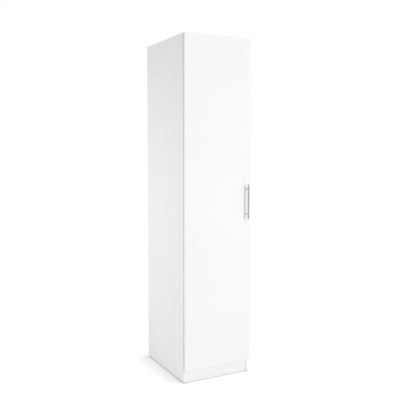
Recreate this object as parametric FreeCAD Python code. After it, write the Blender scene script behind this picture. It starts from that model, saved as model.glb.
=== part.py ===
import FreeCAD, Part
import math
import os
from collections import defaultdict

# White single-door wardrobe: a flat-pack carcass of melamine board and one full-overlay door
# on four concealed hinges. Millimetres, +Z up, front towards -Y. The origin is on the floor,
# under the middle of the overall box.

# Overall sizes
HEIGHT = 2150.0
WIDTH = 470.0
CARCASS_DEPTH = 558.0       # side board and back sheet together

# Boards
BOARD = 16.0
BOARD_EDGE_R = 0.8
SHELF_TOP = 1790.0
SHELF_SETBACK = 20.0        # shelf edge behind the carcass front
PLINTH_RECESS = 3.0
PLINTH_CLEARANCE = 1.0      # plinth above the floor, closer than the sides on their glides

# Door
DOOR_T = 16.0
DOOR_EDGE_R = 2.0
DOOR_GAP = 4.5              # air between the closed door and the carcass
DOOR_REVEAL = 1.0           # carcass edge that shows beside and above the door
DOOR_BOTTOM = 77.0
DOOR_PLINTH_LAP = 2.0       # the door hangs this far over the plinth

# Hardboard back with its joining strip
BACK_T = 3.0
BACK_MARGIN = 2.0           # back sheet edge inside the carcass outline
BACK_JOINT_Z = 1100.0
STRIP_T = 1.0
STRIP_TALL = 14.0
NAIL_R = 0.8
NAIL_LENGTH = 20.0
NAIL_HEAD_R = 2.4
NAIL_HEAD_T = 0.8
NAIL_PITCH = 160.0          # widest spacing along an edge
NAIL_EDGE = 30.0            # first nail from the corner of a sheet

# Clearances
FIT = 0.1                   # play of a fixed piece in its hole
END_PLAY = 0.5              # spare depth beyond the end of a screw, dowel or rail
PIN_PRESS = 0.02            # radial play of a hinge pin in its cup
PIN_RUNNING = 0.05          # radial play of a hinge pin in the arm
CUT_OVER = 1.0              # a cutting tool starts this far outside the face that it cuts

# Knock-down fittings
BLIND_SKIN = 5.0            # board left behind a blind hole
FITTING_EDGE = 60.0         # first fitting from the edge of a board
FITTING_PITCH = 32.0        # cam to dowel
CAM_INSET = 24.0            # cam centre from the end of its board
CAM_R = 7.4
CAM_SKIN = 3.0              # board left over a cam bore
CAM_RECESS = 0.3            # cam face below the board face
CAM_DRIVE_DEPTH = 3.0
BOLT_R = 2.5
BOLT_THREAD_R = 3.0
BOLT_HEAD_R = 3.4
BOLT_HEAD_T = 2.5
BOLT_POCKET_R = 3.8
COVER_R = 8.5
COVER_T = 1.2
COVER_EDGE_R = 0.5
DOWEL_R = 4.0
DOWEL_GRIP = 20.0           # length in the end of a board
DOWEL_CHAMFER = 1.0

# Floor glides
GLIDE_R = 6.5
GLIDE_H = 4.0
GLIDE_EDGE_R = 1.0
GLIDE_INSET = 45.0          # centre from the front or rear edge of the side board
GLIDE_NAIL_R = 1.2
GLIDE_NAIL_LENGTH = 15.0

# Clothes rail, an oval tube, and its sockets
RAIL_TALL = 30.0
RAIL_WIDE = 15.0
RAIL_WALL = 1.2
RAIL_DROP = 48.0            # rail centre below the shelf
SOCKET_T = 2.5
SOCKET_WALL = 1.6
SOCKET_GRIP = 12.0
SOCKET_TALL = 62.0
SOCKET_WIDE = 23.0
SOCKET_SCREW_SPAN = 46.0

# Anti-tip angle
ANGLE_T = 2.0
ANGLE_LEG = 36.0
ANGLE_WIDE = 40.0
ANGLE_CORNER_R = 4.0
ANGLE_SCREW_SPAN = 22.0
WALL_HOLE_R = 3.25
WALL_HOLE_DROP = 22.0       # wall hole below the top panel
BACK_HOLE_EXTRA = 1.0       # the back sheet's hole is wider than the angle's by this radius

# Concealed hinges: a cup in the door, turning on a pin in the gooseneck of an arm
HINGE_COUNT = 4
HINGE_END = 110.0           # outer hinges from the ends of the door
CUP_BORE_R = 17.5
CUP_EDGE = 3.0              # wood between the door edge and the cup bore
CUP_DEPTH = 13.0
CUP_WALL = 0.8
CHEEK_T = 2.2
CHEEK_REACH = 3.5           # cheek past the pin axis
EAR_T = 1.0
EAR_REACH = 29.0            # ear above and below the cup centre
EAR_FRONT = 10.0            # ear from the cup centre towards the door edge
EAR_REAR = 14.0             # and away from it
EAR_R = 6.0
CUP_SCREW_SPAN = 48.0
CUP_SCREW_OFFSET = 6.0
PIVOT_INSET = 7.5           # pin axis from the door edge
PIVOT_DEPTH = 9.0           # pin axis from the rear face of the door
PIN_R = 1.5
KNUCKLE_R = 2.6
KNUCKLE_WIDE = 8.0
KNUCKLE_PLAY = 0.3
NECK_DROP = 1.4             # rear face of the gooseneck behind the pin axis
NECK_T = 4.5
NECK_OUTER_R = 3.0
NECK_INNER_R = 1.2
ARM_WIDE = 18.0
ARM_T = 2.0
ARM_CORNER_R = 1.5
ARM_FRONT = 2.0             # channel of the arm behind the carcass front
ARM_LENGTH = 64.0
ARM_LIFT = 6.4              # channel web above the side board
ARM_FLANGE_LIFT = 2.1
ARM_SCREW_SPAN = 22.0       # clamp screw to adjusting screw
PLATE_T = 1.5
PLATE_SETBACK = 37.0        # plate screws behind the carcass front
PLATE_SCREW_SPAN = 32.0
PLATE_WING_TALL = 48.0
PLATE_WING_LONG = 15.0
PLATE_LONG = 46.0
PLATE_BLOCK_PLAY = 0.3
PLATE_R = 3.0

# Bar handle
BAR_R = 5.0
BAR_LENGTH = 220.0
BAR_CHAMFER = 0.6
BAR_STANDOFF = 27.5         # bar axis in front of the door
POST_SPAN = 160.0
POST_R = 4.0
POST_SADDLE_PLAY = 0.05
POST_SPIGOT_R = 2.5
POST_SPIGOT_GRIP = 3.5      # spigot inside the bar
POST_SPIGOT_ROOT = 4.0      # spigot inside its post
POST_THREAD = 9.0
HANDLE_EDGE = 29.0          # bar axis from the closing edge of the door
HANDLE_Z = 1118.0

# Magnetic catch and door buffers
CATCH_TALL = 38.0
CATCH_WIDE = 14.0
CATCH_DEEP = 16.0
CATCH_WING = 11.0
CATCH_WING_T = 2.5
CATCH_R = 1.5
MAGNET_TALL = 28.0
MAGNET_WIDE = 8.0
MAGNET_DEEP = 10.0
MAGNET_GAP = 0.1            # magnet to strike with the door shut
MAGNET_PROUD = 0.7          # magnet in front of its housing
STRIKE_TALL = 54.0
STRIKE_WIDE = 12.0
STRIKE_T = 1.2
STRIKE_R = 3.0
STRIKE_SCREW_SPAN = 45.0
BUFFER_R = 4.0
BUFFER_EDGE_R = 0.8
BUFFER_GAP = 0.2            # buffer to carcass with the door shut
BUFFER_END = 60.0           # buffer from the end of the door

# Screws: head radius, head height, shank radius, length under the head
SOCKET_SCREW = (3.3, 1.8, 1.6, 12.0)
ANGLE_SCREW = (3.6, 2.0, 1.9, 12.0)
CUP_SCREW = (3.3, 1.6, 1.6, 11.0)
PLATE_SCREW = (4.0, 2.0, 2.4, 12.0)
ARM_SCREW = (3.4, 1.8, 1.8, 6.0)
CATCH_SCREW = (3.2, 1.6, 1.5, 12.0)
STRIKE_SCREW = (2.8, 1.0, 1.4, 11.0)
HANDLE_SCREW = (4.2, 2.0, 2.0, DOOR_T + POST_THREAD)
SCREW_TIP = 2.0
RECESS_WIDE = 0.8           # slot width of a cross recess
RECESS_SHARE = 0.6          # cross recess over the radius and height of its head

# Planes of the assembly
X_LEFT = -WIDTH / 2
X_RIGHT = WIDTH / 2
X_IN_LEFT = X_LEFT + BOARD
X_IN_RIGHT = X_RIGHT - BOARD
X_DOOR_LEFT = X_LEFT + DOOR_REVEAL
X_DOOR_RIGHT = X_RIGHT - DOOR_REVEAL

HANDLE_REACH = BAR_STANDOFF + BAR_R
DEPTH = HANDLE_REACH + DOOR_T + DOOR_GAP + CARCASS_DEPTH + STRIP_T
Y_DOOR_FRONT = HANDLE_REACH - DEPTH / 2
Y_DOOR_BACK = Y_DOOR_FRONT + DOOR_T
Y_FRONT = Y_DOOR_BACK + DOOR_GAP
Y_REAR = Y_FRONT + CARCASS_DEPTH
Y_BACK = Y_REAR - BACK_T

Z_BOTTOM = DOOR_BOTTOM + DOOR_PLINTH_LAP
Z_FLOOR = Z_BOTTOM + BOARD
Z_SHELF = SHELF_TOP - BOARD
Z_CEILING = HEIGHT - BOARD
DOOR_TOP = HEIGHT - DOOR_REVEAL
BLIND = BOARD - BLIND_SKIN

V = FreeCAD.Vector
UP = V(0, 0, 1)
RIGHT = V(1, 0, 0)
REARWARD = V(0, 1, 0)
FORWARD = -REARWARD
TINY = 1e-3

nodes = {}                      # finished single pieces
groups = defaultdict(list)      # solids that share one node
holes = defaultdict(list)       # cutting tools of each drilled piece


def block(x0, x1, y0, y1, z0, z1):
    return Part.makeBox(x1 - x0, y1 - y0, z1 - z0, V(x0, y0, z0))


def rod(start, direction, length, radius):
    return Part.makeCylinder(radius, length, start, direction)


def join(shapes):
    return shapes[0].multiFuse(shapes[1:]).removeSplitter()


def placed(shape, position, direction):
    """Move a shape made along +Z so that it starts at a position and runs along a direction."""
    shape.Placement = FreeCAD.Placement(position, FreeCAD.Rotation(UP, direction))
    return shape


def rim(shape, z):
    """Edges that lie in the plane at a height."""
    return [edge for edge in shape.Edges
            if abs(edge.BoundBox.ZMin - z) < TINY and abs(edge.BoundBox.ZMax - z) < TINY]


def soft_board(x0, x1, y0, y1, z0, z1, radius):
    solid = block(x0, x1, y0, y1, z0, z1)
    return solid.makeFillet(radius, solid.Edges)


def soft_disc(seat, direction, length, radius, edge_r):
    """Disc that stands on its seat, with a rounded free rim."""
    disc = Part.makeCylinder(radius, length)
    return placed(disc.makeFillet(edge_r, rim(disc, length)), seat, direction)


def stadium(x0, x1, y, z, wide, tall):
    """Oval bar along X, its longer way upright."""
    radius = wide / 2
    half = tall / 2 - radius
    core = block(x0, x1, y - radius, y + radius, z - half, z + half)
    ends = [rod(V(x0, y, z + side * half), RIGHT, x1 - x0, radius) for side in (-1, 1)]
    return join([core] + ends)


def rounded_outline(corners):
    """Closed wire through corner points, each rounded by its own radius or left sharp at 0."""
    bends = []
    for index, (corner, radius) in enumerate(corners):
        before = (corners[index - 1][0] - corner).normalize()
        after = (corners[(index + 1) % len(corners)][0] - corner).normalize()
        half_angle = before.getAngle(after) / 2
        reach = radius / math.tan(half_angle)
        inset = radius / math.sin(half_angle) - radius
        middle = corner + (before + after).normalize() * inset
        bends.append((corner + before * reach, middle, corner + after * reach))
    edges = []
    for index, (start, middle, end) in enumerate(bends):
        if corners[index][1] > 0:
            edges.append(Part.Arc(start, middle, end).toShape())
        edges.append(Part.LineSegment(end, bends[(index + 1) % len(bends)][0]).toShape())
    return Part.Wire(edges)


def sheet(corners, thickness):
    """Flat piece with a rounded outline, as thick as the given vector."""
    return Part.Face(rounded_outline(corners)).extrude(thickness)


def rounded_plate(centre, half_a, half_b, thickness, radius):
    """Rectangular plate about a centre, with its four corners rounded."""
    corners = (half_a + half_b, half_b - half_a, -half_a - half_b, half_a - half_b)
    return sheet([(centre + corner, radius) for corner in corners], thickness)


def cross_recess(reach, top, depth):
    """Two crossed slots that go down from the plane at Z = top, towards +Z."""
    half = RECESS_WIDE / 2
    along = block(-reach, reach, -half, half, top - CUT_OVER, top + depth)
    across = block(-half, half, -reach, reach, top - CUT_OVER, top + depth)
    return join([along, across])


def screw(seat, direction, sizes):
    """Pan-head screw: its head stands on the seat and its shank runs along the direction."""
    head_r, head_t, shank_r, length = sizes
    head = Part.makeCylinder(head_r, head_t, V(0, 0, -head_t))
    head = head.makeFillet(head_t / 2, rim(head, -head_t))
    shank = Part.makeCylinder(shank_r, length - SCREW_TIP)
    tip = Part.makeCone(shank_r, shank_r / 2, SCREW_TIP, V(0, 0, length - SCREW_TIP))
    recess = cross_recess(head_r * RECESS_SHARE, -head_t, head_t * RECESS_SHARE)
    return placed(join([head, shank, tip]).cut(recess), seat, direction)


def screw_hole(seat, direction, sizes):
    """Hole for the shank of a screw."""
    length = sizes[3] + END_PLAY + CUT_OVER
    return rod(seat - direction * CUT_OVER, direction, length, sizes[2] + FIT)


def add_screw(group, seat, direction, sizes, pieces):
    """Put a screw in its group and drill the pieces that it goes through."""
    groups[group].append(screw(seat, direction, sizes))
    for piece in pieces:
        holes[piece].append(screw_hole(seat, direction, sizes))


def spread(first, last, pitch):
    """Evenly spaced places from first to last, no further apart than the pitch."""
    steps = max(1, math.ceil((last - first) / pitch))
    return [first + (last - first) * step / steps for step in range(steps + 1)]


def make_boards():
    y_plinth = Y_FRONT + PLINTH_RECESS
    boards = {
        "left_side_panel": (X_LEFT, X_IN_LEFT, Y_FRONT, Y_BACK, GLIDE_H, HEIGHT),
        "right_side_panel": (X_IN_RIGHT, X_RIGHT, Y_FRONT, Y_BACK, GLIDE_H, HEIGHT),
        "top_panel": (X_IN_LEFT, X_IN_RIGHT, Y_FRONT, Y_BACK, Z_CEILING, HEIGHT),
        "bottom_panel": (X_IN_LEFT, X_IN_RIGHT, Y_FRONT, Y_BACK, Z_BOTTOM, Z_FLOOR),
        "hat_shelf": (X_IN_LEFT, X_IN_RIGHT, Y_FRONT + SHELF_SETBACK, Y_BACK, Z_SHELF, SHELF_TOP),
        "plinth_board": (X_IN_LEFT, X_IN_RIGHT, y_plinth, y_plinth + BOARD, PLINTH_CLEARANCE, Z_BOTTOM),
    }
    for name, limits in boards.items():
        nodes[name] = soft_board(*limits, BOARD_EDGE_R)


def add_cam(board, side, mouth, into, face, covered):
    """Cam lock in a board and its bolt in the side; `into` enters the board, `face` leaves the cam bore."""
    centre = mouth + into * CAM_INSET
    cam_face = centre + face * (BOARD / 2 - CAM_RECESS)
    cam_tall = BOARD - CAM_SKIN - CAM_RECESS - FIT
    head_start = CAM_INSET - BOLT_HEAD_T / 2
    groups["cam_bolts"].append(join([
        rod(mouth, -into, BLIND - END_PLAY, BOLT_THREAD_R),
        rod(mouth, into, head_start, BOLT_R),
        rod(mouth + into * head_start, into, BOLT_HEAD_T, BOLT_HEAD_R),
    ]))
    pocket = rod(centre + into * BOLT_HEAD_T, -into, CAM_INSET, BOLT_POCKET_R)
    drive = placed(cross_recess(CAM_R * RECESS_SHARE, 0, CAM_DRIVE_DEPTH), cam_face, -face)
    groups["cam_locks"].append(rod(cam_face, -face, cam_tall, CAM_R).cut([pocket, drive]))
    if covered:
        seat = centre + face * (BOARD / 2)
        groups["cam_covers"].append(soft_disc(seat, face, COVER_T, COVER_R, COVER_EDGE_R))
    bore_start = centre + face * (BOARD / 2 + CUT_OVER)
    holes[board].append(rod(bore_start, -face, BOARD - CAM_SKIN + CUT_OVER, CAM_R + FIT))
    holes[board].append(rod(mouth - into * CUT_OVER, into, CAM_INSET + CUT_OVER, BOLT_POCKET_R))
    holes[side].append(rod(mouth + into * CUT_OVER, -into, BLIND + CUT_OVER, BOLT_THREAD_R + FIT))


def add_dowel(board, side, mouth, into):
    """Wooden dowel across the joint of a board and a side."""
    inner_end = BLIND - END_PLAY
    pin = Part.makeCylinder(DOWEL_R, inner_end + DOWEL_GRIP)
    pin = pin.makeChamfer(DOWEL_CHAMFER, rim(pin, 0) + rim(pin, inner_end + DOWEL_GRIP))
    groups["wood_dowels"].append(placed(pin, mouth - into * inner_end, into))
    hole = rod(mouth - into * BLIND, into, BLIND + DOWEL_GRIP + END_PLAY, DOWEL_R + FIT)
    holes[board].append(hole)
    holes[side].append(hole)


def make_fittings():
    sides = (("left_side_panel", X_IN_LEFT, RIGHT), ("right_side_panel", X_IN_RIGHT, -RIGHT))
    decks = (
        ("top_panel", Y_FRONT, Z_CEILING, True),
        ("hat_shelf", Y_FRONT + SHELF_SETBACK, Z_SHELF, True),
        ("bottom_panel", Y_FRONT, Z_BOTTOM, False),
    )
    for side, x_end, into in sides:
        for board, y_edge, z_under, covered in decks:
            z_mid = z_under + BOARD / 2
            for y_cam, inward in ((y_edge + FITTING_EDGE, 1), (Y_BACK - FITTING_EDGE, -1)):
                add_cam(board, side, V(x_end, y_cam, z_mid), into, -UP, covered)
                add_dowel(board, side, V(x_end, y_cam + inward * FITTING_PITCH, z_mid), into)
        y_mid = Y_FRONT + PLINTH_RECESS + BOARD / 2
        z_mid = (PLINTH_CLEARANCE + Z_BOTTOM) / 2
        add_cam("plinth_board", side, V(x_end, y_mid, z_mid + FITTING_PITCH / 2), into, REARWARD, False)
        add_dowel("plinth_board", side, V(x_end, y_mid, z_mid - FITTING_PITCH / 2), into)


def add_nail(back_sheet, board, x, z):
    seat = V(x, Y_REAR, z)
    head = rod(seat, REARWARD, NAIL_HEAD_T, NAIL_HEAD_R)
    shank = rod(seat, FORWARD, NAIL_LENGTH, NAIL_R)
    groups["back_panel_nails"].append(join([head, shank]))
    hole = rod(seat + REARWARD * CUT_OVER, FORWARD, CUT_OVER + NAIL_LENGTH + END_PLAY, NAIL_R + FIT)
    holes[back_sheet].append(hole)
    holes[board].append(hole)


def make_back():
    sheets = {
        "back_panel_lower": (Z_BOTTOM + BACK_MARGIN, BACK_JOINT_Z - STRIP_T / 2),
        "back_panel_upper": (BACK_JOINT_Z + STRIP_T / 2, HEIGHT - BACK_MARGIN),
    }
    for name, (z0, z1) in sheets.items():
        nodes[name] = block(X_LEFT + BACK_MARGIN, X_RIGHT - BACK_MARGIN, Y_BACK, Y_REAR, z0, z1)
        for z in spread(z0 + NAIL_EDGE, z1 - NAIL_EDGE, NAIL_PITCH):
            add_nail(name, "left_side_panel", X_LEFT + BOARD / 2, z)
            add_nail(name, "right_side_panel", X_RIGHT - BOARD / 2, z)
    decks = (
        ("back_panel_lower", "bottom_panel", Z_BOTTOM),
        ("back_panel_upper", "hat_shelf", Z_SHELF),
        ("back_panel_upper", "top_panel", Z_CEILING),
    )
    for name, board, z_under in decks:
        for x in spread(X_IN_LEFT + FITTING_EDGE, X_IN_RIGHT - FITTING_EDGE, NAIL_PITCH):
            add_nail(name, board, x, z_under + BOARD / 2)


def make_back_strip():
    """H-section strip that holds the meeting edges of the two back sheets."""
    def leaf(y0, y1, tall):
        return block(X_IN_LEFT + END_PLAY, X_IN_RIGHT - END_PLAY, y0, y1,
                     BACK_JOINT_Z - tall / 2, BACK_JOINT_Z + tall / 2)

    nodes["back_joint_strip"] = join([
        leaf(Y_BACK - STRIP_T, Y_BACK, STRIP_TALL),
        leaf(Y_BACK, Y_REAR, STRIP_T),
        leaf(Y_REAR, Y_REAR + STRIP_T, STRIP_TALL),
    ])


def make_glides():
    for side, x in (("left_side_panel", X_LEFT + BOARD / 2), ("right_side_panel", X_RIGHT - BOARD / 2)):
        for y in (Y_FRONT + GLIDE_INSET, Y_BACK - GLIDE_INSET):
            seat = V(x, y, GLIDE_H)
            disc = soft_disc(seat, -UP, GLIDE_H, GLIDE_R, GLIDE_EDGE_R)
            groups["floor_glides"].append(join([disc, rod(seat, UP, GLIDE_NAIL_LENGTH, GLIDE_NAIL_R)]))
            hole_length = CUT_OVER + GLIDE_NAIL_LENGTH + END_PLAY
            holes[side].append(rod(seat - UP * CUT_OVER, UP, hole_length, GLIDE_NAIL_R + FIT))


def make_rail():
    y = (Y_FRONT + Y_BACK) / 2
    z = Z_SHELF - RAIL_DROP
    x0 = X_IN_LEFT + SOCKET_T
    x1 = X_IN_RIGHT - SOCKET_T
    tube = stadium(x0 + END_PLAY, x1 - END_PLAY, y, z, RAIL_WIDE, RAIL_TALL)
    bore = stadium(x0, x1, y, z, RAIL_WIDE - 2 * RAIL_WALL, RAIL_TALL - 2 * RAIL_WALL)
    nodes["hanging_rail"] = tube.cut(bore)
    make_rail_socket("rail_socket_left", "left_side_panel", X_IN_LEFT, RIGHT, y, z)
    make_rail_socket("rail_socket_right", "right_side_panel", X_IN_RIGHT, -RIGHT, y, z)


def make_rail_socket(name, side, x_wall, into, y, z):
    """Oval collar on an oval plate, screwed to the side board."""
    x_face = x_wall + into.x * SOCKET_T
    x_rim = x_face + into.x * SOCKET_GRIP
    plate = stadium(min(x_wall, x_face), max(x_wall, x_face), y, z, SOCKET_WIDE, SOCKET_TALL)
    play = 2 * FIT
    shell = play + 2 * SOCKET_WALL
    reach = (min(x_face, x_rim), max(x_face, x_rim))
    collar = stadium(*reach, y, z, RAIL_WIDE + shell, RAIL_TALL + shell)
    hollow = stadium(*reach, y, z, RAIL_WIDE + play, RAIL_TALL + play)
    nodes[name] = join([plate, collar]).cut(hollow)
    for up in (-1, 1):
        seat = V(x_face, y, z + up * SOCKET_SCREW_SPAN / 2)
        add_screw("rail_socket_screws", seat, -into, SOCKET_SCREW, (name, side))


def make_wall_bracket():
    """Steel angle between the top panel and the back, drilled for a wall screw."""
    half = ANGLE_WIDE / 2
    y_free = Y_BACK - ANGLE_LEG
    z_free = Z_CEILING - ANGLE_LEG
    z_flat = Z_CEILING - ANGLE_T
    y_upright = Y_BACK - ANGLE_T
    flat = sheet([(V(-half, y_free, z_flat), ANGLE_CORNER_R), (V(half, y_free, z_flat), ANGLE_CORNER_R),
                  (V(half, Y_BACK, z_flat), 0), (V(-half, Y_BACK, z_flat), 0)], UP * ANGLE_T)
    upright = sheet([(V(-half, y_upright, z_free), ANGLE_CORNER_R),
                     (V(half, y_upright, z_free), ANGLE_CORNER_R),
                     (V(half, y_upright, Z_CEILING), 0),
                     (V(-half, y_upright, Z_CEILING), 0)], REARWARD * ANGLE_T)
    nodes["wall_bracket"] = join([flat, upright])
    drill = V(0, Y_REAR + CUT_OVER, Z_CEILING - WALL_HOLE_DROP)
    reach = BACK_T + ANGLE_T + 2 * CUT_OVER
    holes["wall_bracket"].append(rod(drill, FORWARD, reach, WALL_HOLE_R))
    holes["back_panel_upper"].append(rod(drill, FORWARD, reach, WALL_HOLE_R + BACK_HOLE_EXTRA))
    for side in (-1, 1):
        seat = V(side * ANGLE_SCREW_SPAN / 2, (y_free + y_upright) / 2, z_flat)
        add_screw("wall_bracket_screws", seat, UP, ANGLE_SCREW, ("wall_bracket", "top_panel"))


# Hinge plan: u runs inwards from the outer face of the left side, v forwards from the carcass front
PIVOT_U = DOOR_REVEAL + PIVOT_INSET
PIVOT_V = DOOR_GAP + PIVOT_DEPTH
CUP_U = DOOR_REVEAL + CUP_EDGE + CUP_BORE_R
CHEEK_START = KNUCKLE_WIDE / 2 + KNUCKLE_PLAY
PIN_HALF = CHEEK_START + CHEEK_T


def hinge_point(u, v, z):
    return V(X_LEFT + u, Y_FRONT - v, z)


def make_hinge_cup(name, z):
    """Cup in the door, with two cheeks that hold the pin and two ears that take the screws."""
    mouth = hinge_point(CUP_U, DOOR_GAP, z)
    outer_r = CUP_BORE_R - FIT
    inner_depth = CUP_DEPTH - CUP_WALL
    body = rod(mouth, FORWARD, CUP_DEPTH, outer_r)
    ears = rounded_plate(mouth + RIGHT * ((EAR_REAR - EAR_FRONT) / 2), RIGHT * ((EAR_REAR + EAR_FRONT) / 2),
                         UP * EAR_REACH, REARWARD * EAR_T, EAR_R)
    clear = EAR_T + CUT_OVER
    cavity = rod(mouth + REARWARD * clear, FORWARD, clear + inner_depth, outer_r - CUP_WALL)
    cheeks = []
    for side in (-1, 1):
        z_ends = sorted((z + side * CHEEK_START, z + side * PIN_HALF))
        x_cheek = X_LEFT + PIVOT_U + CHEEK_REACH
        cheek = block(mouth.x - outer_r, x_cheek, mouth.y - CUP_DEPTH, mouth.y, *z_ends)
        cheeks.append(cheek.common(body))
        seat = hinge_point(CUP_U + CUP_SCREW_OFFSET, DOOR_GAP - EAR_T, z + side * CUP_SCREW_SPAN / 2)
        add_screw("cup_screws", seat, FORWARD, CUP_SCREW, (name, "door_panel"))
    nodes[name] = join([join([body, ears]).cut(cavity)] + cheeks)
    pin_foot = hinge_point(PIVOT_U, PIVOT_V, z - PIN_HALF)
    groups["hinge_pins"].append(rod(pin_foot, UP, 2 * PIN_HALF, PIN_R))
    holes[name].append(rod(pin_foot, UP, 2 * PIN_HALF, PIN_R + PIN_PRESS))
    bore_depth = CUP_DEPTH + FIT
    holes["door_panel"].append(rod(mouth + REARWARD * CUT_OVER, FORWARD, CUT_OVER + bore_depth, CUP_BORE_R))


def make_hinge_arm(name, plate_name, z):
    """Channel over the mounting plate, with a gooseneck that reaches into the cup."""
    web_under = BOARD + ARM_LIFT
    web_top = web_under + ARM_T
    neck_u = web_top - NECK_T
    neck_root = -ARM_FRONT - NECK_T
    z_low = z - KNUCKLE_WIDE / 2
    neck = sheet([
        (hinge_point(PIVOT_U, PIVOT_V + KNUCKLE_R, z_low), 0),
        (hinge_point(web_top, PIVOT_V + KNUCKLE_R, z_low), NECK_OUTER_R),
        (hinge_point(web_top, neck_root, z_low), 0),
        (hinge_point(neck_u, neck_root, z_low), 0),
        (hinge_point(neck_u, PIVOT_V - NECK_DROP, z_low), NECK_INNER_R),
        (hinge_point(PIVOT_U, PIVOT_V - NECK_DROP, z_low), 0),
    ], UP * KNUCKLE_WIDE)
    pivot = hinge_point(PIVOT_U, PIVOT_V, z_low)
    knuckle = rod(pivot, UP, KNUCKLE_WIDE, KNUCKLE_R)
    half = ARM_WIDE / 2
    inner = half - ARM_T
    flange_u = BOARD + ARM_FLANGE_LIFT
    section = ((flange_u, -half, 0), (web_top, -half, ARM_CORNER_R), (web_top, half, ARM_CORNER_R),
               (flange_u, half, 0), (flange_u, inner, 0), (web_under, inner, 0),
               (web_under, -inner, 0), (flange_u, -inner, 0))
    channel = sheet([(hinge_point(u, -ARM_FRONT, z + w), radius) for u, w, radius in section],
                    REARWARD * ARM_LENGTH)
    nodes[name] = join([channel, neck, knuckle])
    holes[name].append(rod(pivot - UP * CUT_OVER, UP, KNUCKLE_WIDE + 2 * CUT_OVER, PIN_R + PIN_RUNNING))
    for side in (-1, 1):
        seat = hinge_point(web_top, -PLATE_SETBACK + side * ARM_SCREW_SPAN / 2, z)
        add_screw("hinge_arm_screws", seat, -RIGHT, ARM_SCREW, (name, plate_name))


def make_hinge_plate(name, z):
    """Mounting plate: two screwed wings and a block that carries the arm."""
    seat = hinge_point(BOARD, -PLATE_SETBACK, z)
    long_half = REARWARD * (PLATE_LONG / 2)
    block_half = UP * (ARM_WIDE / 2 - ARM_T - PLATE_BLOCK_PLAY)
    wings = rounded_plate(seat, REARWARD * (PLATE_WING_LONG / 2), UP * (PLATE_WING_TALL / 2),
                          RIGHT * PLATE_T, PLATE_R)
    base = rounded_plate(seat, long_half, UP * (ARM_WIDE / 2), RIGHT * PLATE_T, PLATE_R)
    carrier = rounded_plate(seat, long_half, block_half, RIGHT * ARM_LIFT, PLATE_R)
    nodes[name] = join([wings, base, carrier])
    for side in (-1, 1):
        screw_seat = seat + RIGHT * PLATE_T + UP * (side * PLATE_SCREW_SPAN / 2)
        add_screw("hinge_plate_screws", screw_seat, -RIGHT, PLATE_SCREW, (name, "left_side_panel"))


def make_hinges():
    first = DOOR_BOTTOM + HINGE_END
    last = DOOR_TOP - HINGE_END
    for index in range(HINGE_COUNT):
        z = first + (last - first) * index / (HINGE_COUNT - 1)
        number = index + 1
        make_hinge_cup(f"hinge_cup_{number}", z)
        make_hinge_plate(f"hinge_plate_{number}", z)
        make_hinge_arm(f"hinge_arm_{number}", f"hinge_plate_{number}", z)


def make_door():
    nodes["door_panel"] = soft_board(X_DOOR_LEFT, X_DOOR_RIGHT, Y_DOOR_FRONT, Y_DOOR_BACK,
                                     DOOR_BOTTOM, DOOR_TOP, DOOR_EDGE_R)
    for z in (DOOR_BOTTOM + BUFFER_END, DOOR_TOP - BUFFER_END):
        seat = V(X_RIGHT - BOARD / 2, Y_DOOR_BACK, z)
        groups["door_buffers"].append(
            soft_disc(seat, REARWARD, DOOR_GAP - BUFFER_GAP, BUFFER_R, BUFFER_EDGE_R))


def make_handle():
    """Round bar on two posts, each held by a screw from inside the door."""
    x = X_DOOR_RIGHT - HANDLE_EDGE
    y_bar = Y_DOOR_FRONT - BAR_STANDOFF
    bar = Part.makeCylinder(BAR_R, BAR_LENGTH)
    bar = bar.makeChamfer(BAR_CHAMFER, rim(bar, 0) + rim(bar, BAR_LENGTH))
    nodes["handle_bar"] = placed(bar, V(x, y_bar, HANDLE_Z - BAR_LENGTH / 2), UP)
    saddle = rod(V(x, y_bar, HANDLE_Z - BAR_LENGTH / 2), UP, BAR_LENGTH, BAR_R + POST_SADDLE_PLAY)
    for name, side in (("handle_post_lower", -1), ("handle_post_upper", 1)):
        foot = V(x, Y_DOOR_FRONT, HANDLE_Z + side * POST_SPAN / 2)
        spigot_foot = foot + FORWARD * (BAR_STANDOFF - BAR_R - POST_SPIGOT_ROOT)
        spigot_length = POST_SPIGOT_ROOT + POST_SPIGOT_GRIP
        post = rod(foot, FORWARD, BAR_STANDOFF, POST_R).cut(saddle)
        nodes[name] = join([post, rod(spigot_foot, FORWARD, spigot_length, POST_SPIGOT_R)])
        holes["handle_bar"].append(rod(spigot_foot, FORWARD, spigot_length + END_PLAY, POST_SPIGOT_R + FIT))
        seat = foot + REARWARD * DOOR_T
        add_screw("handle_screws", seat, FORWARD, HANDLE_SCREW, (name, "door_panel"))


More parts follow.
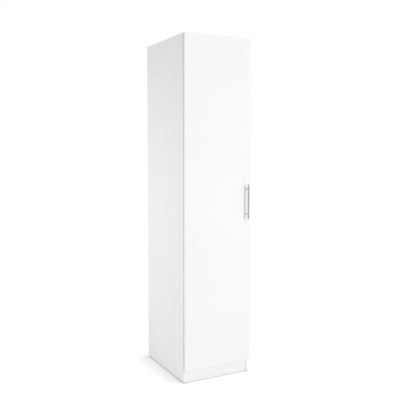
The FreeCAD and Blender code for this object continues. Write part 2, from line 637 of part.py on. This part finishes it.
def make_catch():
    """Magnet in a housing on the right side board, and its steel strike on the door."""
    x_mid = X_IN_RIGHT - CATCH_WIDE / 2
    y_magnet = Y_DOOR_BACK + STRIKE_T + MAGNET_GAP
    y_face = y_magnet + MAGNET_PROUD
    seat = V(X_IN_RIGHT, y_face + CATCH_DEEP / 2, HANDLE_Z)
    deep_half = REARWARD * (CATCH_DEEP / 2)
    housing = rounded_plate(seat, deep_half, UP * (CATCH_TALL / 2), -RIGHT * CATCH_WIDE, CATCH_R)
    tall_half = UP * (CATCH_TALL / 2 + CATCH_WING)
    wings = rounded_plate(seat, deep_half, tall_half, -RIGHT * CATCH_WING_T, CATCH_R)
    nodes["catch_housing"] = join([housing, wings])

    limits = (x_mid - MAGNET_WIDE / 2, x_mid + MAGNET_WIDE / 2, y_magnet, y_magnet + MAGNET_DEEP,
              HANDLE_Z - MAGNET_TALL / 2, HANDLE_Z + MAGNET_TALL / 2)
    nodes["catch_magnet"] = block(*limits)
    x0, x1, y0, y1, z0, z1 = limits
    holes["catch_housing"].append(block(x0 - FIT, x1 + FIT, y0, y1 + FIT, z0 - FIT, z1 + FIT))

    strike_seat = V(x_mid, Y_DOOR_BACK, HANDLE_Z)
    nodes["catch_strike"] = rounded_plate(strike_seat, RIGHT * (STRIKE_WIDE / 2), UP * (STRIKE_TALL / 2),
                                          REARWARD * STRIKE_T, STRIKE_R)
    for side in (-1, 1):
        wing_seat = seat - RIGHT * CATCH_WING_T + UP * (side * (CATCH_TALL + CATCH_WING) / 2)
        add_screw("catch_screws", wing_seat, RIGHT, CATCH_SCREW, ("catch_housing", "right_side_panel"))
        plate_seat = strike_seat + REARWARD * STRIKE_T + UP * (side * STRIKE_SCREW_SPAN / 2)
        add_screw("catch_strike_screws", plate_seat, FORWARD, STRIKE_SCREW, ("catch_strike", "door_panel"))


def main():
    make_boards()
    make_fittings()
    make_back()
    make_back_strip()
    make_glides()
    make_rail()
    make_wall_bracket()
    make_door()
    make_hinges()
    make_handle()
    make_catch()
    for name, tools in holes.items():
        nodes[name] = nodes[name].cut(tools)
    for name, solids in groups.items():
        nodes[name] = Part.makeCompound(solids)
    os.makedirs("parts", exist_ok=True)
    for name, shape in nodes.items():
        shape.exportStep(f"parts/{name}.step")
        print(f"{name}: {len(shape.Solids)} solid(s), {shape.Volume:.0f} mm3, valid {shape.isValid()}")
    box = Part.makeCompound(list(nodes.values())).BoundBox
    print(f"{len(nodes)} nodes, {box.XLength:.2f} x {box.YLength:.2f} x {box.ZLength:.2f} mm")


main()
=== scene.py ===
from collections import namedtuple
import math

import bpy
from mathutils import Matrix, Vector


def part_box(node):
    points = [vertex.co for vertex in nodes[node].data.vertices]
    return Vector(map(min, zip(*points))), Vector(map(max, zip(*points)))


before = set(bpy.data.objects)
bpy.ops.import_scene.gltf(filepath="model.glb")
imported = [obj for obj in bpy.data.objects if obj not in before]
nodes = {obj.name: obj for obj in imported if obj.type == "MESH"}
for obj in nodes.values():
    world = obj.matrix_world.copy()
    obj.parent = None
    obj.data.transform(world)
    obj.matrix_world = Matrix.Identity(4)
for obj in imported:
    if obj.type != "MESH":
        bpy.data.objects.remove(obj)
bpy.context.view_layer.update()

MM = 0.001
UP = Vector((0, 0, 1))
REAR = Vector((0, 1, 0))

# Camera, fitted to the corners of the carcass and the door in the 400 x 400 photograph
PHOTO_PX = 400
FOCAL_PX = 580.5
SENSOR_MM = 36.0
HORIZON_SHIFT = -0.0329
CAMERA_OFFSET = Vector((-1.5538, -3.1633, 1.4325))     # from the front lower corner of the left side
CAMERA_YAW = math.radians(-27.823)
CAMERA_PITCH = math.radians(-3.4)

# Light: places in metres from the middle of the footprint, on the floor; power in watts
Lamp = namedtuple("Lamp", "place aim power color")
AMBIENT = 0.58
NEUTRAL = (1.0, 1.0, 1.0)
WARM = (1.0, 0.995, 0.975)
LAMP_DIAMETER = 1.0
LAMPS = {
    "key": Lamp(place=(7.40, -18.90, 9.50), aim=(0.0, -0.27, 1.10), power=1400.0, color=NEUTRAL),
    "soft": Lamp(place=(1.05, -2.60, 0.95), aim=(0.0, -0.27, 0.95), power=7.8, color=NEUTRAL),
    "fill": Lamp(place=(-2.00, 0.40, 1.10), aim=(-0.24, 0.05, 1.10), power=10.9, color=WARM),
}

# Floor: pale for the light that it sends back to the object, mostly self-lit white for direct sight
FLOOR_SIZE = 60.0
FLOOR_ROUGHNESS = 0.9
FLOOR_ALBEDO = 0.92            # for the light on the object
FLOOR_SEEN = 0.2               # for direct sight
FLOOR_LIFT = 0.885             # self-lit part, where the object hides nothing

# Shade of the object on the self-lit floor: a cast away from the key's side, and a line at the foot
SHADOW_FROM = (0.70, -0.60, 0.40)
SHADOW_REACH = 0.125
SHADOW_DEPTH = 0.40
CONTACT_REACH = 0.008
SHADE_SAMPLES = 16

# Finishes
NOISE_MIDDLE = (0.3, 0.7)      # range that most of a noise lies in
FACING = 0.8                   # least cosine at which a surface counts as facing a direction
WAVE_PHASE = 20.0              # radians that a Wave texture turns in one unit at scale 1
BOARD_SPECULAR = 0.3
DRAWN_STRETCH = 60             # length of a drawn line against its width


def srgb(red, green, blue):
    """Linear colour of an 8-bit sRGB one, with full alpha."""
    def linear(value):
        share = value / 255
        return share / 12.92 if share <= 0.04045 else ((share + 0.055) / 1.055) ** 2.4
    return (linear(red), linear(green), linear(blue), 1.0)


def darker(color, share):
    """A colour at a share of its brightness."""
    return (*(channel * share for channel in color[:3]), 1.0)


WHITE = srgb(255, 255, 255)
WHITE_BOARD = srgb(244, 244, 243)
WHITE_PLINTH = srgb(244, 244, 244)
WHITE_DOOR = srgb(245, 245, 245)
WHITE_LACQUER = srgb(240, 240, 238)


def put(tree, socket, value):
    """Link an output to a socket, or set a plain value on it."""
    if isinstance(value, bpy.types.NodeSocket):
        tree.links.new(value, socket)
    else:
        socket.default_value = value


def math_node(tree, operation, *values):
    """Add a Math node on outputs or numbers, and give its output."""
    made = tree.nodes.new("ShaderNodeMath")
    made.operation = operation
    for socket, value in zip(made.inputs, values):
        put(tree, socket, value)
    return made.outputs[0]


class Finish:
    """A Principled material with procedural detail in object space, in metres."""

    def __init__(self, name, color, roughness, metallic=0.0):
        self.material = bpy.data.materials.new(name)
        self.material.use_nodes = True
        self.tree = self.material.node_tree
        self.shader = self.tree.nodes["Principled BSDF"]
        self.coordinates = self.tree.nodes.new("ShaderNodeTexCoord").outputs
        self.put("Base Color", color)
        self.put("Roughness", roughness)
        self.put("Metallic", metallic)

    def put(self, socket, value):
        """Link an output to the shader, or set a plain value on it."""
        put(self.tree, self.shader.inputs[socket], value)

    def node(self, kind, inputs=(), **settings):
        """Add a node; inputs are pairs of socket and an output or a value."""
        made = self.tree.nodes.new("ShaderNode" + kind)
        for key, value in settings.items():
            setattr(made, key, value)
        for socket, value in inputs:
            put(self.tree, made.inputs[socket], value)
        return made

    def math(self, operation, first, second):
        """Combine two outputs or numbers."""
        return math_node(self.tree, operation, first, second)

    def place(self, stretch):
        """Object coordinates; a stretch over 1 lengthens the pattern along that axis."""
        scale = tuple(1 / factor for factor in stretch)
        inputs = [("Vector", self.coordinates["Object"]), ("Scale", scale)]
        return self.node("Mapping", inputs).outputs[0]

    def noise(self, size, detail=2.0, stretch=(1, 1, 1)):
        """Cloudy noise with features of about the given size."""
        inputs = [("Vector", self.place(stretch)), ("Scale", 1 / size), ("Detail", detail)]
        return self.node("TexNoise", inputs).outputs[0]

    def cells(self, size, stretch):
        """Random grey per cell of about the given size."""
        inputs = [("Vector", self.place(stretch)), ("Scale", 1 / size)]
        return self.node("TexVoronoi", inputs).outputs["Color"]

    def waves(self, direction, pitch):
        """Parallel ridges across an axis."""
        scale = 2 * math.pi / (WAVE_PHASE * pitch)
        inputs = [("Vector", self.coordinates["Object"]), ("Scale", scale)]
        return self.node("TexWave", inputs, bands_direction=direction).outputs["Fac"]

    def spread(self, factor, low=0.0, high=1.0):
        """Map the middle of a noise to a range of values."""
        least, most = NOISE_MIDDLE
        inputs = [("Value", factor), ("From Min", least), ("From Max", most),
                  ("To Min", low), ("To Max", high)]
        return self.node("MapRange", inputs).outputs[0]

    def mix(self, factor, first, second):
        """Blend two colours, each an output or a linear colour."""
        made = self.node("Mix", [(0, factor)], data_type="RGBA")
        sockets = [socket for socket in made.inputs if socket.type == "RGBA"]
        for socket, value in zip(sockets, (first, second)):
            put(self.tree, socket, value)
        return next(socket for socket in made.outputs if socket.type == "RGBA")

    def faces(self, *directions):
        """1 on the surfaces that face any of the directions, 0 on the others."""
        total = 0.0
        for direction in directions:
            inputs = [(0, self.coordinates["Normal"]), (1, direction)]
            cosine = self.node("VectorMath", inputs, operation="DOT_PRODUCT").outputs["Value"]
            total = self.math("MAXIMUM", total, self.math("GREATER_THAN", cosine, FACING))
        return total

    def clouds(self, color, share, size, detail=2.0):
        """A colour that drifts to a slightly darker one."""
        return self.mix(self.spread(self.noise(size, detail)), color, darker(color, share))

    def vary_roughness(self, noise, middle, swing):
        """Let the roughness follow a noise about a middle value."""
        self.put("Roughness", self.spread(noise, middle - swing, middle + swing))

    def bump(self, height, depth):
        """Raise the surface by up to the given depth."""
        self.put("Normal", self.node("Bump", [("Height", height), ("Distance", depth)]).outputs[0])


def board(name, color, roughness, raw_edges=()):
    """White melamine face with a fine pearl texture; raw edges show chipboard."""
    finish = Finish(name, color, roughness)
    finish.put("Specular IOR Level", BOARD_SPECULAR)
    face = finish.clouds(color, share=0.985, size=400 * MM, detail=1.0)
    finish.vary_roughness(finish.noise(size=12 * MM), roughness, swing=0.04)
    finish.bump(finish.noise(size=0.9 * MM), depth=0.02 * MM)
    if raw_edges:
        flakes = finish.cells(size=1.6 * MM, stretch=(1, 3, 3))
        chips = finish.mix(flakes, srgb(196, 164, 122), srgb(142, 108, 74))
        face = finish.mix(finish.faces(*raw_edges), face, chips)
    finish.put("Base Color", face)
    return finish.material


def hardboard():
    """Pressed brown fibre with the press screen's imprint outside, white lacquer inside."""
    screen_pitch = 1.6 * MM
    finish = Finish("hardboard", srgb(142, 106, 73), roughness=0.75)
    outside = finish.faces(REAR)
    fibre = finish.spread(finish.noise(size=2.2 * MM, detail=4.0, stretch=(2.5, 1, 1)))
    light = finish.mix(fibre, srgb(136, 101, 69), srgb(162, 124, 88))
    dark = finish.mix(fibre, srgb(124, 91, 62), srgb(150, 113, 80))
    brown = finish.mix(finish.spread(finish.noise(size=250 * MM)), light, dark)
    finish.put("Base Color", finish.mix(outside, WHITE_LACQUER, brown))
    screen = finish.math("MAXIMUM", finish.waves("X", screen_pitch), finish.waves("Z", screen_pitch))
    relief = finish.math("ADD", screen, finish.noise(size=0.8 * MM, detail=3.0))
    finish.bump(finish.math("MULTIPLY", relief, outside), depth=0.06 * MM)
    finish.vary_roughness(finish.noise(size=5 * MM), middle=0.74, swing=0.08)
    return finish.material


def brushed_metal(name, color, roughness, along):
    """Satin metal with fine drawn lines along an axis."""
    finish = Finish(name, color, roughness, metallic=1.0)
    stretch = tuple(DRAWN_STRETCH if axis == along else 1 for axis in "XYZ")
    lines = finish.noise(size=0.25 * MM, detail=3.0, stretch=stretch)
    finish.vary_roughness(lines, roughness, swing=0.07)
    finish.put("Base Color", finish.mix(finish.spread(lines), color, darker(color, share=0.9)))
    finish.bump(lines, depth=0.004 * MM)
    return finish.material


def plated_metal(name, color, roughness):
    """Pressed or cast metal with a thin plating: faint clouds and a fine grain."""
    finish = Finish(name, color, roughness, metallic=1.0)
    finish.put("Base Color", finish.clouds(color, share=0.95, size=14 * MM))
    finish.vary_roughness(finish.noise(size=6 * MM), roughness, swing=0.1 * roughness)
    finish.bump(finish.noise(size=1.2 * MM, detail=1.0), depth=0.002 * MM)
    return finish.material


def moulded_plastic(name, color, roughness):
    """Plain plastic with a fine spark-eroded grain."""
    finish = Finish(name, color, roughness)
    finish.put("Base Color", finish.clouds(color, share=0.97, size=20 * MM))
    finish.vary_roughness(finish.noise(size=3 * MM), roughness, swing=0.05)
    finish.bump(finish.noise(size=0.35 * MM), depth=0.015 * MM)
    return finish.material


def beech():
    """Turned wood with its grain along the dowels."""
    finish = Finish("beech", srgb(206, 168, 120), roughness=0.6)
    grain = finish.noise(size=0.7 * MM, detail=3.0, stretch=(25, 1, 1))
    color = finish.mix(finish.spread(grain), srgb(214, 178, 132), srgb(182, 140, 96))
    finish.put("Base Color", color)
    finish.bump(grain, depth=0.03 * MM)
    return finish.material


def ferrite():
    """Dark sintered magnet with a speckled grain."""
    finish = Finish("ferrite", srgb(60, 60, 62), roughness=0.6)
    speckle = finish.noise(size=0.6 * MM)
    finish.put("Base Color", finish.mix(speckle, srgb(48, 48, 50), srgb(78, 78, 80)))
    finish.bump(finish.noise(size=0.5 * MM), depth=0.02 * MM)
    return finish.material


def dress_nodes():
    """Give each CAD node the finish under its own name, or else under the first start of its name."""
    side = board("side_board", WHITE_BOARD, roughness=0.5, raw_edges=(REAR, -UP))
    deck = board("deck_board", WHITE_BOARD, roughness=0.5, raw_edges=(REAR,))
    plinth = board("plinth_board", WHITE_PLINTH, roughness=0.5, raw_edges=(-UP,))
    door = board("door_board", WHITE_DOOR, roughness=0.48)
    # Bar and posts are one steel: the bar's colour is darkened as a painted dark reflection, and the
    # posts' colour is lightened as painted light
    bar_steel_painted_dark_reflection = brushed_metal("handle_bar_steel_painted_dark_reflection", srgb(173, 169, 166), roughness=0.5, along="Z")
    post_steel_painted_light = brushed_metal("handle_post_steel_painted_light", srgb(219, 215, 211), roughness=0.45, along="Y")
    nickel = plated_metal("nickel", srgb(196, 193, 186), roughness=0.26)
    zinc = plated_metal("zinc_plate", srgb(190, 193, 196), roughness=0.38)
    casting = plated_metal("zinc_casting", srgb(176, 176, 174), roughness=0.5)
    chrome = plated_metal("chrome", srgb(222, 223, 224), roughness=0.08)
    white_plastic = moulded_plastic("white_plastic", srgb(238, 238, 235), roughness=0.45)
    grey_plastic = moulded_plastic("grey_plastic", srgb(120, 120, 118), roughness=0.5)
    clear_pad = moulded_plastic("clear_pad", srgb(222, 224, 224), roughness=0.3)
    finishes = {
        "left_side_panel": side,
        "right_side_panel": side,
        "plinth_board": plinth,
        "top_panel": deck,
        "bottom_panel": deck,
        "hat_shelf": deck,
        "door_panel": door,
        "back_panel_nails": zinc,
        "back_panel_": hardboard(),
        "back_joint_strip": white_plastic,
        "cam_covers": white_plastic,
        "cam_": casting,
        "wood_dowels": beech(),
        "floor_glides": grey_plastic,
        "door_buffers": clear_pad,
        "hanging_rail": chrome,
        "rail_socket_screws": zinc,
        "rail_socket_": chrome,
        "wall_bracket": zinc,
        "hinge_": nickel,
        "cup_screws": nickel,
        "handle_screws": zinc,
        "handle_bar": bar_steel_painted_dark_reflection,
        "handle_post_": post_steel_painted_light,
        "catch_housing": white_plastic,
        "catch_magnet": ferrite(),
        "catch_": zinc,
    }
    for name, piece in nodes.items():
        key = name if name in finishes else next(start for start in finishes if name.startswith(start))
        piece.data.materials.clear()
        piece.data.materials.append(finishes[key])


def add_lamps():
    """Hang the round lamps, unseen by the camera."""
    for name, lamp in LAMPS.items():
        data = bpy.data.lights.new(name, "AREA")
        data.shape = "DISK"
        data.size = LAMP_DIAMETER
        data.energy = lamp.power
        data.color = lamp.color
        made = bpy.data.objects.new(name, data)
        made.location = lamp.place
        beam = Vector(lamp.aim) - Vector(lamp.place)
        made.rotation_euler = beam.to_track_quat("-Z", "Y").to_euler()
        made.visible_camera = False
        bpy.context.scene.collection.objects.link(made)


def seen_directly(tree):
    """1 for camera, glossy and transmission rays, so that they see the white backdrop."""
    rays = tree.nodes.new("ShaderNodeLightPath").outputs
    shiny = math_node(tree, "MAXIMUM", rays["Is Glossy Ray"], rays["Is Transmission Ray"])
    return math_node(tree, "MAXIMUM", rays["Is Camera Ray"], shiny)


def make_world():
    """Even light from all round, and a white backdrop for direct sight."""
    world = bpy.data.worlds.new("studio")
    world.use_nodes = True
    tree = world.node_tree
    background = tree.nodes["Background"].inputs
    put(tree, background["Color"], WHITE)
    put(tree, background["Strength"], math_node(tree, "MAXIMUM", seen_directly(tree), AMBIENT))
    bpy.context.scene.world = world


def openness(tree, reach, direction):
    """Share of the half space about a direction that is free within a reach."""
    aim = tree.nodes.new("ShaderNodeCombineXYZ")
    for socket, value in zip(aim.inputs, direction):
        put(tree, socket, value)
    made = tree.nodes.new("ShaderNodeAmbientOcclusion")
    made.samples = SHADE_SAMPLES
    put(tree, made.inputs["Distance"], reach)
    put(tree, made.inputs["Normal"], aim.outputs[0])
    return made.outputs["AO"]


def floor_material():
    """Pale matt floor that is lifted to white for direct sight, except in the object's shade."""
    material = bpy.data.materials.new("pale_floor")
    material.use_nodes = True
    tree = material.node_tree
    shader = tree.nodes["Principled BSDF"].inputs
    seen = seen_directly(tree)
    albedo = math_node(tree, "MULTIPLY_ADD", seen, FLOOR_SEEN - FLOOR_ALBEDO, FLOOR_ALBEDO)
    cast = math_node(tree, "POWER", openness(tree, SHADOW_REACH, SHADOW_FROM), SHADOW_DEPTH)
    shade = math_node(tree, "MULTIPLY", cast, openness(tree, CONTACT_REACH, UP))
    lift = math_node(tree, "MULTIPLY", seen, FLOOR_LIFT)
    put(tree, shader["Base Color"], albedo)
    put(tree, shader["Roughness"], FLOOR_ROUGHNESS)
    put(tree, shader["Specular IOR Level"], 0.0)
    put(tree, shader["Emission Color"], WHITE)
    put(tree, shader["Emission Strength"], math_node(tree, "MULTIPLY", shade, lift))
    return material


def make_floor():
    """One large square under the object."""
    half = FLOOR_SIZE / 2
    mesh = bpy.data.meshes.new("floor")
    corners = [(-half, -half, 0), (half, -half, 0), (half, half, 0), (-half, half, 0)]
    mesh.from_pydata(corners, [], [(0, 1, 2, 3)])
    mesh.materials.append(floor_material())
    floor = bpy.data.objects.new("floor", mesh)
    bpy.context.scene.collection.objects.link(floor)


def make_camera():
    """Camera at the photograph's place, set off from the left side's foot."""
    side_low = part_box("left_side_panel")[0]
    data = bpy.data.cameras.new("camera")
    data.sensor_width = SENSOR_MM
    data.lens = FOCAL_PX * SENSOR_MM / PHOTO_PX
    data.shift_y = HORIZON_SHIFT
    camera = bpy.data.objects.new("camera", data)
    camera.location = Vector((side_low.x, side_low.y, 0)) + CAMERA_OFFSET
    camera.rotation_euler = (math.pi / 2 + CAMERA_PITCH, 0, CAMERA_YAW)
    bpy.context.scene.collection.objects.link(camera)
    bpy.context.scene.camera = camera


dress_nodes()
make_world()
make_floor()
add_lamps()
make_camera()
bpy.context.scene.view_settings.view_transform = "Standard"
